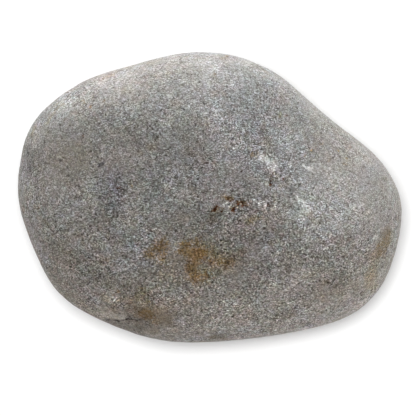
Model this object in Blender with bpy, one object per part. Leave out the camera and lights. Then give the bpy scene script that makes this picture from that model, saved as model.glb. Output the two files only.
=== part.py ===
"""A river pebble: one water-worn sandstone pebble, lying on its flattest side.

The pebble is one closed solid in metres, +Z up. The origin is the middle of its
footprint, on the surface that it rests on. +X runs along the long way of the stone
to its low broad end, and +Y points to the side with the straight sloping shoulder.
Shapes are worked out in millimetres and turned into metres at the end.
"""

import math
from typing import NamedTuple

import bmesh
import bpy
import numpy as np
from mathutils import Vector, noise

MM = 0.001

# Driving dimensions, in millimetres.
LENGTH = 80.0
WIDTH = 60.4
THICKNESS = 33.0
RIM_HEIGHT = 15.2
BELLY_DEPTH = 0.75

# How square the rounded section is: 2 is an ellipse, more is boxier. The upper side is boxier
# towards this direction and the opposite one, and rounder between them.
TOP_FULLNESS = 2.55
TOP_FULLNESS_SWING = 0.25
TOP_FULLNESS_TOWARDS_DEG = 124.0
UNDERSIDE_FULLNESS = 2.2

# The rim is the widest line round the stone. Its height swings gently as it goes round.
RIM_TILT = 2.7
RIM_TILT_TOWARDS_DEG = 121.0
RIM_WARP = 0.8
RIM_WARP_TOWARDS_DEG = 35.0

# Away from the rim the stone's level lines turn into this plain oval: half length, half width.
# The power says how close to the rim they keep to its outline.
OVAL = (38.6, 29.4)
RIM_HOLD_POWER = 3

# The rim from above, anticlockwise from the broad end.
RIM = (
    (39.9, -1.5),
    (38.2, 3.6),
    (34.6, 8.6),
    (29.2, 13.1),
    (20.5, 20.1),
    (14.2, 25.4),
    (9.1, 28.1),
    (0.3, 30.1),
    (-8.6, 29.5),
    (-18.2, 26.9),
    (-24.6, 24.9),
    (-30.8, 21.3),
    (-36.1, 16.5),
    (-39.4, 7.7),
    (-39.9, -0.1),
    (-37.0, -9.7),
    (-30.9, -20.4),
    (-24.3, -24.7),
    (-11.0, -29.5),
    (0.3, -30.0),
    (10.5, -29.1),
    (21.2, -27.2),
    (32.2, -22.4),
    (39.3, -8.3),
)


class WornFace(NamedTuple):
    """A broad, nearly flat face: a plane through a point, that cuts the stone softly."""

    x: float
    y: float
    height: float
    rise_along_x: float
    rise_along_y: float
    rounding: float


class Swell(NamedTuple):
    """A soft lump in one side of the stone or, with a negative height, a hollow."""

    x: float
    y: float
    long_reach: float
    short_reach: float
    turn_deg: float
    height: float


class Pit(NamedTuple):
    """A small round pit."""

    x: float
    y: float
    radius: float
    depth: float


class Crease(NamedTuple):
    """A shallow open crease between two points."""

    start: tuple
    end: tuple
    half_width: float
    depth: float


class Ledge(NamedTuple):
    """A broken edge: the layer inside the line stands proud of the one outside it."""

    points: tuple
    drop: float
    step_width: float
    run_out: float
    end_fade: float


# The upper side: three worn faces. The broad end slopes away from a blunt ridge, which
# runs from the middle of the far side down to the near end.
TOP_FACES = (
    WornFace(-5.0, 8.0, 31.9, 0.070, 0.046, 2.4),
    WornFace(12.0, 7.0, 30.6, -0.178, -0.153, 3.2),
    WornFace(6.0, -10.0, 31.6, 0.044, 0.116, 3.2),
)
TOP_SWELLS = (
    Swell(21.5, 15.0, 9.0, 5.0, 38.0, -0.45),
    Swell(27.5, -7.5, 11.0, 7.0, -15.0, 1.9),
    Swell(-2.0, -9.5, 9.0, 6.0, 15.0, -0.95),
    Swell(-10.0, 17.0, 15.0, 7.0, 12.0, 0.7),
    Swell(-26.0, -3.0, 9.0, 12.0, 0.0, 0.3),
    Swell(-19.0, 6.0, 6.0, 4.0, 40.0, 0.3),
    Swell(8.0, -20.0, 8.0, 4.0, 5.0, -0.3),
)
# The underside: a shallow scoop and two low shoulders round the flat that it rests on.
UNDERSIDE_FACES = (
    WornFace(-20.0, -4.0, 2.2, -0.150, -0.020, 2.5),
    WornFace(22.0, 6.0, 2.4, 0.130, 0.090, 2.5),
)
UNDERSIDE_SWELLS = (
    Swell(-20.0, 12.0, 9.0, 6.0, 30.0, 0.8),
    Swell(18.0, -15.0, 10.0, 6.0, -25.0, -0.7),
    Swell(27.0, 8.0, 7.0, 6.0, 0.0, 0.6),
    Swell(-24.0, -12.0, 8.0, 6.0, 50.0, -0.5),
)

# The swells come in over this share of the way up from the rim, or down from it.
SWELL_SHARE = 0.6

# Low waves left all over by uneven wear: wavelength and height. They are calmer where the
# surface is steeper than the full-wave slope, to keep the outline.
WAVES = ((13.0, 0.42), (6.0, 0.16))
WAVE_PHASE = Vector((17.3, 5.1, 9.7))
FULL_WAVE_FACING = 0.7

# The chip in the edge at the near left, the crease by the left end, and the pitted spot.
CHIP = Ledge(((-22.9, -24.9), (-19.0, -25.5), (-16.6, -25.1), (-12.8, -25.3)), 0.75, 0.55, 3.4, 2.6)
CREASES = (
    Crease((-38.3, 11.6), (-37.2, 4.4), 0.75, 0.2),
    Crease((-7.0, -27.6), (-0.5, -27.8), 0.6, 0.14),
)
PITS = (
    Pit(0.8, -2.4, 0.75, 0.30),
    Pit(2.2, -2.6, 0.65, 0.28),
    Pit(3.7, -0.4, 0.75, 0.32),
    Pit(4.7, -2.4, 0.70, 0.32),
    Pit(6.5, -0.8, 0.80, 0.34),
    Pit(12.4, 2.9, 0.60, 0.24),
)

# How much of its length a crease takes to fade in, and how round a pit's lip is.
CREASE_END_SHARE = 0.3
PIT_LIP_POWER = 1.5

# Small features fade out where the surface turns down at the rim, to keep the outline.
RIM_FACING = 0.04
RIM_FADE = 0.3

# The mesh: an even sphere to start from, made finer towards the small features. An edge may be
# as long as the feature's own edge length, plus this much for each millimetre away from it.
SPHERE_SUBDIVISIONS = 5
FINE_PASSES = 3
CHIP_EDGE = 0.42
CREASE_EDGE = 0.75
PIT_EDGE = 0.34
EDGE_GROWTH = 1.4

STONE_COLOUR = (0.245, 0.232, 0.216, 1.0)
STONE_ROUGHNESS = 0.88


def clear_scene():
    for thing in list(bpy.data.objects):
        bpy.data.objects.remove(thing)


def smooth_step(value):
    clipped = np.clip(value, 0.0, 1.0)
    return clipped * clipped * (3.0 - 2.0 * clipped)


def soft_min(first, second, rounding):
    """The lower of two heights, with the corner where they cross rounded off."""
    nearness = np.maximum(rounding - np.abs(first - second), 0.0) / rounding
    return np.minimum(first, second) - nearness * nearness * rounding / 4.0


class RimCurve:
    """A closed smooth curve through the rim's points: radius by azimuth."""

    def __init__(self, points):
        corners = np.array(points)
        azimuth = np.arctan2(corners[:, 1], corners[:, 0])
        order = np.argsort(azimuth)
        self.azimuth = azimuth[order]
        self.radius = np.hypot(corners[order, 0], corners[order, 1])
        self.step = np.diff(np.append(self.azimuth, self.azimuth[0] + math.tau))
        self.bend = self._bends()

    def _bends(self):
        """Second derivatives at the points, for a periodic cubic spline."""
        count = len(self.radius)
        matrix = np.zeros((count, count))
        target = np.zeros(count)
        for here in range(count):
            after = (here + 1) % count
            back, forth = self.step[here - 1], self.step[here]
            matrix[here, here - 1] += back
            matrix[here, here] += 2.0 * (back + forth)
            matrix[here, after] += forth
            rise_after = (self.radius[after] - self.radius[here]) / forth
            rise_before = (self.radius[here] - self.radius[here - 1]) / back
            target[here] = 6.0 * (rise_after - rise_before)
        return np.linalg.solve(matrix, target)

    def radius_at(self, azimuth):
        turned = (azimuth - self.azimuth[0]) % math.tau + self.azimuth[0]
        here = np.searchsorted(self.azimuth, turned, side="right") - 1
        after = (here + 1) % len(self.radius)
        width = self.step[here]
        past = turned - self.azimuth[here]
        left = width - past
        curve = (self.bend[here] * left**3 + self.bend[after] * past**3) / (6.0 * width)
        from_here = (self.radius[here] / width - self.bend[here] * width / 6.0) * left
        from_after = (self.radius[after] / width - self.bend[after] * width / 6.0) * past
        return curve + from_here + from_after


def face_height(face, x, y):
    return face.height + face.rise_along_x * (x - face.x) + face.rise_along_y * (y - face.y)


def swell_height(swells, x, y):
    total = np.zeros_like(x)
    for swell in swells:
        turn = math.radians(swell.turn_deg)
        along = (x - swell.x) * math.cos(turn) + (y - swell.y) * math.sin(turn)
        across = (y - swell.y) * math.cos(turn) - (x - swell.x) * math.sin(turn)
        spread = (along / swell.long_reach) ** 2 + (across / swell.short_reach) ** 2
        total += swell.height * np.exp(-spread)
    return total


def pebble_points(directions, rim):
    """Points of the stone, before its small features, for unit directions from its middle."""
    flat = np.hypot(directions[:, 0], directions[:, 1])
    up = directions[:, 2]
    azimuth = np.arctan2(directions[:, 1], directions[:, 0])
    is_top = up >= 0.0
    swing = TOP_FULLNESS_SWING * np.cos(2.0 * (azimuth - math.radians(TOP_FULLNESS_TOWARDS_DEG)))
    fullness = np.where(is_top, TOP_FULLNESS + swing, UNDERSIDE_FULLNESS)
    reach = (flat**fullness + np.abs(up) ** fullness) ** (-1.0 / fullness)
    out = flat * reach
    lift = np.abs(up) * reach

    oval = np.hypot(np.cos(azimuth) / OVAL[0], np.sin(azimuth) / OVAL[1]) ** -1.0
    radius = oval + (rim.radius_at(azimuth) - oval) * out**RIM_HOLD_POWER
    x = out * radius * np.cos(azimuth)
    y = out * radius * np.sin(azimuth)
    tilt = RIM_TILT * np.cos(azimuth - math.radians(RIM_TILT_TOWARDS_DEG))
    warp = RIM_WARP * np.cos(2.0 * (azimuth - math.radians(RIM_WARP_TOWARDS_DEG)))
    middle = RIM_HEIGHT + (tilt + warp) * out**2

    inland = smooth_step(lift / SWELL_SHARE)
    top = middle + (THICKNESS - RIM_HEIGHT) * lift
    for face in TOP_FACES:
        top = soft_min(top, face_height(face, x, y), face.rounding)
    top += inland * swell_height(TOP_SWELLS, x, y)

    under = middle - (RIM_HEIGHT + BELLY_DEPTH) * lift
    for face in UNDERSIDE_FACES:
        under = -soft_min(-under, -face_height(face, x, y), face.rounding)
    under += inland * swell_height(UNDERSIDE_SWELLS, x, y)

    return np.column_stack((x, y, np.where(is_top, top, under)))


def along_line(points, x, y):
    """For plan points: distance to a line of several pieces, which side, and length along it."""
    best = np.full(x.shape, np.inf)
    side = np.zeros_like(x)
    travelled = np.zeros_like(x)
    run = 0.0
    for start, end in zip(points, points[1:]):
        step_x, step_y = end[0] - start[0], end[1] - start[1]
        length = math.hypot(step_x, step_y)
        ahead_x, ahead_y = step_x / length, step_y / length
        along = (x - start[0]) * ahead_x + (y - start[1]) * ahead_y
        held = np.clip(along, 0.0, length)
        gap_x = x - (start[0] + ahead_x * held)
        gap_y = y - (start[1] + ahead_y * held)
        distance = np.hypot(gap_x, gap_y)
        nearer = distance < best
        best = np.where(nearer, distance, best)
        side = np.where(nearer, np.sign(ahead_y * (x - start[0]) - ahead_x * (y - start[1])), side)
        travelled = np.where(nearer, run + held, travelled)
        run += length
    return best, side, travelled, run


def chip_depth(chip, x, y):
    """How far the stone is cut back on the outer side of the ledge."""
    distance, side, travelled, run = along_line(chip.points, x, y)
    ends = smooth_step(travelled / chip.end_fade) * smooth_step((run - travelled) / chip.end_fade)
    past = distance * side
    step = smooth_step(past / chip.step_width + 0.5)
    return ends * chip.drop * step * np.exp(-((distance / chip.run_out) ** 2))


def crease_depth(crease, x, y):
    distance, _, travelled, run = along_line((crease.start, crease.end), x, y)
    fade = CREASE_END_SHARE * run
    ends = smooth_step(travelled / fade) * smooth_step((run - travelled) / fade)
    return crease.depth * ends * np.exp(-((distance / crease.half_width) ** 2))


def pit_depth(pit, x, y):
    away = np.hypot(x - pit.x, y - pit.y) / pit.radius
    return pit.depth * np.clip(1.0 - away**2, 0.0, 1.0) ** PIT_LIP_POWER


def small_feature_depth(x, y):
    """How deep the chip, the creases and the pits cut the upper side, along its normal."""
    depth = chip_depth(CHIP, x, y)
    for crease in CREASES:
        depth += crease_depth(crease, x, y)
    for pit in PITS:
        depth += pit_depth(pit, x, y)
    return depth


def longest_edge(x, y):
    """The length that an edge may have at each plan point, short by the small features."""
    gap = np.maximum(along_line(CHIP.points, x, y)[0] - CHIP.step_width, 0.0)
    longest = CHIP_EDGE + EDGE_GROWTH * gap
    for crease in CREASES:
        gap = np.maximum(along_line((crease.start, crease.end), x, y)[0] - crease.half_width, 0.0)
        longest = np.minimum(longest, CREASE_EDGE + EDGE_GROWTH * gap)
    for pit in PITS:
        gap = np.maximum(np.hypot(x - pit.x, y - pit.y) - pit.radius, 0.0)
        longest = np.minimum(longest, PIT_EDGE + EDGE_GROWTH * gap)
    return longest


def directions_of(mesh):
    return np.array([vertex.co.normalized() for vertex in mesh.verts])


def refine_near_features(mesh, rim):
    """Splits the edges near the small features until they can carry them."""
    for _ in range(FINE_PASSES):
        mesh.verts.ensure_lookup_table()
        mesh.verts.index_update()
        points = pebble_points(directions_of(mesh), rim)
        ends = np.array([[vertex.index for vertex in edge.verts] for edge in mesh.edges])
        span = points[ends[:, 0]] - points[ends[:, 1]]
        length = np.linalg.norm(span, axis=1)
        centre = (points[ends[:, 0]] + points[ends[:, 1]]) / 2.0
        too_long = length > longest_edge(centre[:, 0], centre[:, 1])
        chosen = too_long & (centre[:, 2] > RIM_HEIGHT)
        edges = [edge for edge, take in zip(mesh.edges, chosen) if take]
        bmesh.ops.subdivide_edges(mesh, edges=edges, cuts=1, use_grid_fill=True)
        bmesh.ops.triangulate(mesh, faces=mesh.faces[:])
        for vertex in mesh.verts:
            vertex.co.normalize()


def wave_height(point, normal):
    """Low waves of wear, calmer at the rim so that the outline stays as drawn."""
    total = 0.0
    for order, (wavelength, height) in enumerate(WAVES):
        shifted = point / wavelength + WAVE_PHASE * (order + 1)
        total += height * noise.noise(shifted)
    return total * min(1.0, abs(normal.z) / FULL_WAVE_FACING)


def carve(mesh):
    """Moves every vertex along its normal by the waves and the small features."""
    mesh.normal_update()
    normals = [vertex.normal.copy() for vertex in mesh.verts]
    x = np.array([vertex.co.x for vertex in mesh.verts])
    y = np.array([vertex.co.y for vertex in mesh.verts])
    depths = small_feature_depth(x, y)
    for vertex, normal, depth in zip(mesh.verts, normals, depths):
        facing_up = float(smooth_step((normal.z - RIM_FACING) / RIM_FADE))
        move = wave_height(vertex.co, normal) - facing_up * float(depth)
        vertex.co += normal * move


def set_down(mesh):
    """Flattens the lowest part, then fits the stone to its size with the origin under its middle."""
    low = min(vertex.co.z for vertex in mesh.verts)
    for vertex in mesh.verts:
        vertex.co.z = max(vertex.co.z - low, BELLY_DEPTH) - BELLY_DEPTH
    points = np.array([vertex.co for vertex in mesh.verts])
    lowest, highest = points.min(axis=0), points.max(axis=0)
    scale = np.array((LENGTH, WIDTH, THICKNESS)) / (highest - lowest)
    middle = (lowest + highest) / 2.0
    middle[2] = lowest[2]
    for vertex, placed in zip(mesh.verts, (points - middle) * scale * MM):
        vertex.co = placed


def stone_material():
    material = bpy.data.materials.new("pebble_stone")
    material.use_nodes = True
    shader = material.node_tree.nodes["Principled BSDF"]
    shader.inputs["Base Color"].default_value = STONE_COLOUR
    shader.inputs["Roughness"].default_value = STONE_ROUGHNESS
    shader.inputs["Metallic"].default_value = 0.0
    material.diffuse_color = STONE_COLOUR
    return material


def build_pebble():
    rim = RimCurve(RIM)
    mesh = bmesh.new()
    bmesh.ops.create_icosphere(mesh, subdivisions=SPHERE_SUBDIVISIONS, radius=1.0)
    refine_near_features(mesh, rim)
    for vertex, point in zip(mesh.verts, pebble_points(directions_of(mesh), rim)):
        vertex.co = point
    carve(mesh)
    set_down(mesh)

    data = bpy.data.meshes.new("pebble")
    mesh.to_mesh(data)
    mesh.free()
    data.shade_smooth()
    data.materials.append(stone_material())
    pebble = bpy.data.objects.new("pebble", data)
    bpy.context.scene.collection.objects.link(pebble)
    return pebble


clear_scene()
build_pebble()
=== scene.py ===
"""River pebble: the finished look of one water-worn sandstone pebble.

The stone is one piece. Its skin is an even, fine mesh grown over the frame's solid,
roughened with the low waves, lumps and pits that running water leaves, and painted
with this stone's own stains, specks and scuffs. Lengths are in millimetres unless a
name says otherwise. +X points to the stone's low broad end, +Y to its sloping
shoulder, and +Z up.
"""

import logging
import math
import sys
from collections.abc import Iterable
from dataclasses import dataclass, fields, replace
from enum import Enum
from typing import ClassVar

import bmesh
import bpy
import numpy as np
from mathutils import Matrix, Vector, noise


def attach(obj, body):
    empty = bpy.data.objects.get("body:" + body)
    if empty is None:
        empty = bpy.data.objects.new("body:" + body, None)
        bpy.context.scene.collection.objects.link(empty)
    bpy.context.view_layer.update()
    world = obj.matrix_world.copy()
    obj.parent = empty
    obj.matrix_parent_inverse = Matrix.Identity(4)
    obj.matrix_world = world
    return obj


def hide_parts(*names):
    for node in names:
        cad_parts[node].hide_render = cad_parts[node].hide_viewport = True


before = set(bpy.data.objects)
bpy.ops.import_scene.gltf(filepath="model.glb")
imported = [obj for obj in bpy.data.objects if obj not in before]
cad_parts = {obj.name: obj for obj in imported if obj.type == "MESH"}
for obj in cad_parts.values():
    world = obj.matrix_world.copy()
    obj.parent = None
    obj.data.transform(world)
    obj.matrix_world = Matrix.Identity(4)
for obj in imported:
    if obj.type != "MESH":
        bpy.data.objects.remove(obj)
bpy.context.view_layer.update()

MM = 0.001
PER_MM = 1000.0

WHITE = (1.0, 1.0, 1.0, 1.0)
# The least length that anything is divided by.
TINY = 1e-9
# The attribute that says how deep each point lies in a pit.
HOLLOW = "hollow"

log = logging.getLogger("river_pebble")

Socket = bpy.types.NodeSocket
Sockets = bpy.types.bpy_prop_collection
Tree = bpy.types.NodeTree
Plug = Socket | float | str | tuple[float, ...]
Colour = tuple[float, float, float]
Swings = dict[str, Socket]


class Trace(Enum):
    """What a mark leaves on the stone. Each is painted into a vertex attribute of that name."""

    OCHRE = "ochre"
    EARTH = "earth"
    OLIVE = "olive"
    RUST = "rust"
    PALE = "pale"
    DARK = "dark"
    WARM = "warm"
    COOL = "cool"
    # Lighter and darker, like dark, also carry painted light and shade in some places.
    LIGHTER = "lighter"
    DARKER = "darker"
    SMOOTH = "smooth"


# ---- Node trees ----


class Graph:
    """A node tree being built: adds nodes to it and joins their sockets."""

    CLOUD_DETAIL: ClassVar[float] = 2.0
    CLOUD_ROUGHNESS: ClassVar[float] = 0.55

    def __init__(self, tree: Tree) -> None:
        """Works on one tree, which the nodes go into."""
        self.tree = tree

    def add(
        self, kind: str, plugs: dict[str | int, Plug] | None = None, **settings: object
    ) -> bpy.types.Node:
        """Adds a node.

        Args:
            kind: The node's type name.
            plugs: What goes into its inputs, by name or number: a socket or a value.
            **settings: The node's own settings.

        Returns:
            The new node.
        """
        node = self.tree.nodes.new(kind)
        for name, value in settings.items():
            setattr(node, name, value)
        for key, value in (plugs or {}).items():
            self.feed(node.inputs[key], value)
        return node

    def feed(self, socket: Socket, value: Plug) -> None:
        """Joins a socket to another one, or sets its value.

        Args:
            socket: The input to feed.
            value: An output socket, or a plain value.
        """
        if isinstance(value, bpy.types.NodeSocket):
            self.tree.links.new(value, socket)
        else:
            socket.default_value = value

    def maths(self, operation: str, *terms: Plug, clamp: bool = False) -> Socket:
        """A Math node's output, from its terms in order. Clamp holds it between 0 and 1."""
        plugs = dict(enumerate(terms))
        return self.add("ShaderNodeMath", plugs, operation=operation, use_clamp=clamp).outputs[0]

    def product(self, *factors: Plug) -> Socket:
        """Multiplies any number of values.

        Args:
            *factors: The values.

        Returns:
            Their product.
        """
        result = factors[0]
        for factor in factors[1:]:
            result = self.maths("MULTIPLY", result, factor)
        return result

    def total(self, *terms: Plug) -> Socket:
        """Adds up any number of values.

        Args:
            *terms: The values.

        Returns:
            Their sum.
        """
        result = terms[0]
        for term in terms[1:]:
            result = self.maths("ADD", result, term)
        return result

    def less(self, value: Plug, taken: Plug) -> Socket:
        """One value less another, as a socket."""
        return self.maths("SUBTRACT", value, taken)

    def minus_half(self, value: Plug) -> Socket:
        """A value from 0 to 1 made to swing about zero, as a socket."""
        return self.less(value, 0.5)

    def vectors(self, operation: str, plugs: dict[str | int, Plug]) -> Socket:
        """A Vector Math node's vector output. The plugs are its inputs, by name or number."""
        return self.add("ShaderNodeVectorMath", plugs, operation=operation).outputs[0]

    def ramp(self, value: Plug, low: Plug, high: Plug, start: float = 0.0, end: float = 1.0) -> Socket:
        """A smooth step that goes from start to end as the value goes from low to high."""
        plugs = {"Value": value, "From Min": low, "From Max": high, "To Min": start, "To Max": end}
        return self.add("ShaderNodeMapRange", plugs, interpolation_type="SMOOTHSTEP").outputs[0]

    def cloud(self, place: Socket, size: Plug, seed: Plug) -> Sockets:
        """Adds cloudy noise.

        Args:
            place: Where it is read, in millimetres.
            size: The size of its blobs.
            seed: Which of many such clouds it is.

        Returns:
            The Noise node's outputs, which run from 0 to 1.
        """
        plugs = {
            "Vector": place, "W": seed, "Scale": self.maths("DIVIDE", 1.0, size),
            "Detail": self.CLOUD_DETAIL, "Roughness": self.CLOUD_ROUGHNESS,
        }
        return self.add("ShaderNodeTexNoise", plugs, noise_dimensions="4D").outputs

    def cells(self, place: Socket, size: Plug, scatter: float = 1.0) -> Sockets:
        """Rounded cells' outputs: a random colour each, and Distance in cell sizes."""
        plugs = {"Vector": place, "Scale": self.maths("DIVIDE", 1.0, size), "Randomness": scatter}
        return self.add("ShaderNodeTexVoronoi", plugs, feature="F1").outputs

    def split(self, colour: Socket) -> tuple[Socket, Socket, Socket]:
        """The three channels of a colour, as sockets."""
        return tuple(self.add("ShaderNodeSeparateXYZ", {0: colour}).outputs[:3])

    def painted(self, name: str) -> Socket:
        """A painted attribute at each point, as a socket."""
        return self.add("ShaderNodeAttribute", attribute_name=name).outputs["Fac"]

    def group(self, tree: Tree, plugs: dict[str, Plug]) -> Swings:
        """Places a shader node group, and gives its outputs by name."""
        node = self.add("ShaderNodeGroup", plugs, node_tree=tree)
        return {output.name: output for output in node.outputs}

    def closed(self, results: dict[str, Plug]) -> Tree:
        """Adds the Group Output node, and gives the finished tree."""
        self.add("NodeGroupOutput", results)
        return self.tree


# The kinds of the named sockets that aren't plain numbers.
SOCKET_KINDS = {
    "Place": "NodeSocketVector",
    "Base": "NodeSocketColor",
    "Colour": "NodeSocketColor",
    "Pigment": "NodeSocketColor",
    "Geometry": "NodeSocketGeometry",
    "Finish": "NodeSocketMaterial",
}


def new_tree(
    name: str, kind: str, inputs: Iterable[str], outputs: Iterable[str]
) -> tuple[Graph, Sockets]:
    """Starts a node group.

    Args:
        name: The group's name.
        kind: The type of its tree.
        inputs: The names of its input sockets.
        outputs: The names of its output sockets.

    Returns:
        The group's graph, and what it is given.
    """
    tree = bpy.data.node_groups.new(name, kind)
    for way, labels in (("INPUT", inputs), ("OUTPUT", outputs)):
        for socket in labels:
            socket_type = SOCKET_KINDS.get(socket, "NodeSocketFloat")
            tree.interface.new_socket(socket, in_out=way, socket_type=socket_type)
    graph = Graph(tree)
    return graph, graph.add("NodeGroupInput").outputs


def named_values(layer: object) -> dict[str, Plug]:
    """Turns a dataclass into the values of sockets that are named for its fields.

    Args:
        layer: The dataclass.

    Returns:
        Each field's value, by its name in words.
    """
    names = [field.name for field in fields(layer)]
    return {name.replace("_", " ").capitalize(): getattr(layer, name) for name in names}


# ---- The stone's surface, as shader node groups ----


@dataclass(frozen=True)
class Grains:
    """The packed sand grains: the size in millimetres, and contrasts and swings in stops."""

    size: float = 0.315
    coarse_contrast: float = 0.71
    fine_contrast: float = 2.58
    cement: float = 0.6
    drift: float = -0.1
    hue_swing: float = 0.095


@dataclass(frozen=True)
class Mottle:
    """One layer of cloudy light and dark: its size in millimetres, and its swings in stops."""

    size: float
    seed: float
    contrast: float
    drift: float
    hue_swing: float


@dataclass(frozen=True)
class Bloom:
    """One scatter of soft patches: its size in millimetres, and its swings in stops."""

    size: float
    seed: float
    sparseness: float
    stops: float
    warmth: float
    green: float


@dataclass(frozen=True)
class PigmentFinish:
    """How a pigment tints the stone: a factor for each channel, and how softly it lies."""

    trace: Trace
    tint: Colour
    softness: float


SWINGS = ("Stops", "Warmth", "Green")


def swung(
    graph: Graph, stops: Socket, hues: Iterable[Socket], drift: Plug, hue_swing: Plug, green_share: float
) -> Swings:
    """Works out how a layer swings about the stone's own colour.

    Args:
        graph: The graph to work in.
        stops: The layer's swing in brightness.
        hues: Two random numbers from 0 to 1, for warmth and for green.
        drift: How much warmth comes with each stop.
        hue_swing: How far warmth swings by itself.
        green_share: How far green swings, over how far warmth does.

    Returns:
        The three swings, by name.
    """
    warm, green = (graph.product(graph.minus_half(hue), hue_swing) for hue in hues)
    drifted = graph.product(stops, drift)
    values = (stops, graph.total(warm, drifted), graph.product(green, green_share))
    return dict(zip(SWINGS, values))


@dataclass
class StoneEffects:
    """The effects that the stone's finish is made of, each a shader node group built once.

    Brightness is worked in stops: one stop is a doubling. Warmth is how many stops red
    stands above blue, and Green how many stops green stands above the two. The fine
    grains' size and rise are shares of the coarse ones'. Flecks are single grains, picked
    by a random number from 0 to 1.
    """

    fine_grain_size: float = 0.55
    cement_span: tuple[float, float] = (0.3, 0.8)
    cement_swing: tuple[float, float] = (0.4, -0.6)
    dark_flecks_below: float = 0.04
    dark_fleck: float = -1.7
    bright_flecks_above: float = 0.98
    bright_fleck: float = 0.4
    grain_green: float = 0.2
    grain_rise: float = 0.3
    fine_grain_rise: float = 0.5
    mottle_green: float = 0.5
    bloom_edge: float = 0.12

    def __post_init__(self) -> None:
        """Builds every group."""
        self.grain = self._grain()
        self.mottle = self._mottle()
        self.bloom = self._bloom()
        self.tone = self._tone()
        self.coverage = self._coverage()
        self.tinge = self._tinge()

    @staticmethod
    def _new(name: str, inputs: Iterable[str], outputs: Iterable[str]) -> tuple[Graph, Sockets]:
        """Starts one shader node group, as new_tree does."""
        return new_tree(name, "ShaderNodeTree", inputs, outputs)

    def _grain(self) -> Tree:
        """Builds the packed sand grains: bright and dark ones of two sizes, in a browner cement.

        Returns:
            The group. Chance is a random number for each grain.
        """
        outputs = (*SWINGS, "Chance", "Height")
        graph, given = self._new("packed_grains", ("Place", *named_values(Grains())), outputs)
        coarse = graph.cells(given["Place"], given["Size"])
        fine = graph.cells(given["Place"], graph.product(given["Size"], self.fine_grain_size))
        shade, flecks, chance = graph.split(coarse["Color"])
        fine_shade, green, hue = graph.split(fine["Color"])
        is_dark = graph.maths("LESS_THAN", flecks, self.dark_flecks_below)
        is_bright = graph.maths("GREATER_THAN", flecks, self.bright_flecks_above)
        cement = graph.ramp(coarse["Distance"], *self.cement_span, *self.cement_swing)
        stops = graph.total(
            graph.product(graph.minus_half(shade), given["Coarse contrast"]),
            graph.product(graph.minus_half(fine_shade), given["Fine contrast"]),
            graph.product(cement, given["Cement"]),
            graph.product(is_dark, self.dark_fleck),
            graph.product(is_bright, self.bright_fleck),
        )
        dome = graph.product(graph.less(1.0, coarse["Distance"]), graph.total(chance, self.grain_rise))
        height = graph.total(dome, graph.product(fine_shade, self.fine_grain_rise))
        swings = swung(graph, stops, (hue, green), given["Drift"], given["Hue swing"], self.grain_green)
        return graph.closed({**swings, "Chance": chance, "Height": height})

    def _mottle(self) -> Tree:
        """Builds cloudy light and dark at one size, which also drifts between warm and cool.

        Returns:
            The group.
        """
        names = ("Place", "Size", "Seed", "Contrast", "Drift", "Hue swing")
        graph, given = self._new("mottle", names, SWINGS)
        cloud = graph.cloud(given["Place"], given["Size"], given["Seed"])
        shade, *hues = graph.split(cloud["Color"])
        stops = graph.product(graph.minus_half(shade), given["Contrast"])
        swings = swung(graph, stops, hues, given["Drift"], given["Hue swing"], self.mottle_green)
        return graph.closed(swings)

    def _bloom(self) -> Tree:
        """Builds scattered soft patches that are lighter or darker than the stone round them.

        Returns:
            The group: a patch lies where a cloud rises from one level to another.
        """
        graph, given = self._new("bloom", ("Place", "Size", "Seed", "Sparseness", *SWINGS), SWINGS)
        cloud = graph.cloud(given["Place"], given["Size"], given["Seed"])
        edge = given["Sparseness"]
        patch = graph.ramp(cloud[0], edge, graph.total(edge, self.bloom_edge))
        return graph.closed({name: graph.product(patch, given[name]) for name in SWINGS})

    def _tone(self) -> Tree:
        """Builds the step that turns stops, warmth and green into a colour.

        Returns:
            The group.
        """
        graph, given = self._new("stone_tone", ("Base", *SWINGS), ("Colour",))
        half_warmth = graph.product(given["Warmth"], 0.5)
        level = graph.less(given["Stops"], given["Green"])
        powers = (graph.total(level, half_warmth), given["Stops"], graph.less(level, half_warmth))
        doubled = {index: graph.maths("POWER", 2.0, power) for index, power in enumerate(powers)}
        channels = graph.add("ShaderNodeCombineXYZ", doubled).outputs[0]
        return graph.closed({"Colour": graph.vectors("MULTIPLY", {0: channels, 1: given["Base"]})})

    def _coverage(self) -> Tree:
        """Builds the step that breaks a painted mask into single grains.

        Returns:
            The group: a grain is covered where its chance is high enough for the mask.
        """
        graph, given = self._new("grain_by_grain", ("Mask", "Chance", "Softness"), ("Mask",))
        soft = given["Softness"]
        reach = graph.product(given["Mask"], graph.total(soft, 1.0))
        over = graph.less(reach, graph.less(1.0, given["Chance"]))
        return graph.closed({"Mask": graph.maths("DIVIDE", over, soft, clamp=True)})

    def _tinge(self) -> Tree:
        """Builds the step that lets a pigment soak into a colour, where a mask says.

        Returns:
            The group, which multiplies the colour by the pigment.
        """
        graph, given = self._new("tinge", ("Colour", "Mask", "Pigment"), ("Colour",))
        mix = graph.add("ShaderNodeMix", data_type="RGBA", blend_type="MULTIPLY")
        sockets = {socket.identifier: socket for socket in (*mix.inputs, *mix.outputs)}
        for socket, name in (("Factor_Float", "Mask"), ("A_Color", "Colour"), ("B_Color", "Pigment")):
            graph.feed(sockets[socket], given[name])
        return graph.closed({"Colour": sockets["Result_Color"]})


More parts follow.
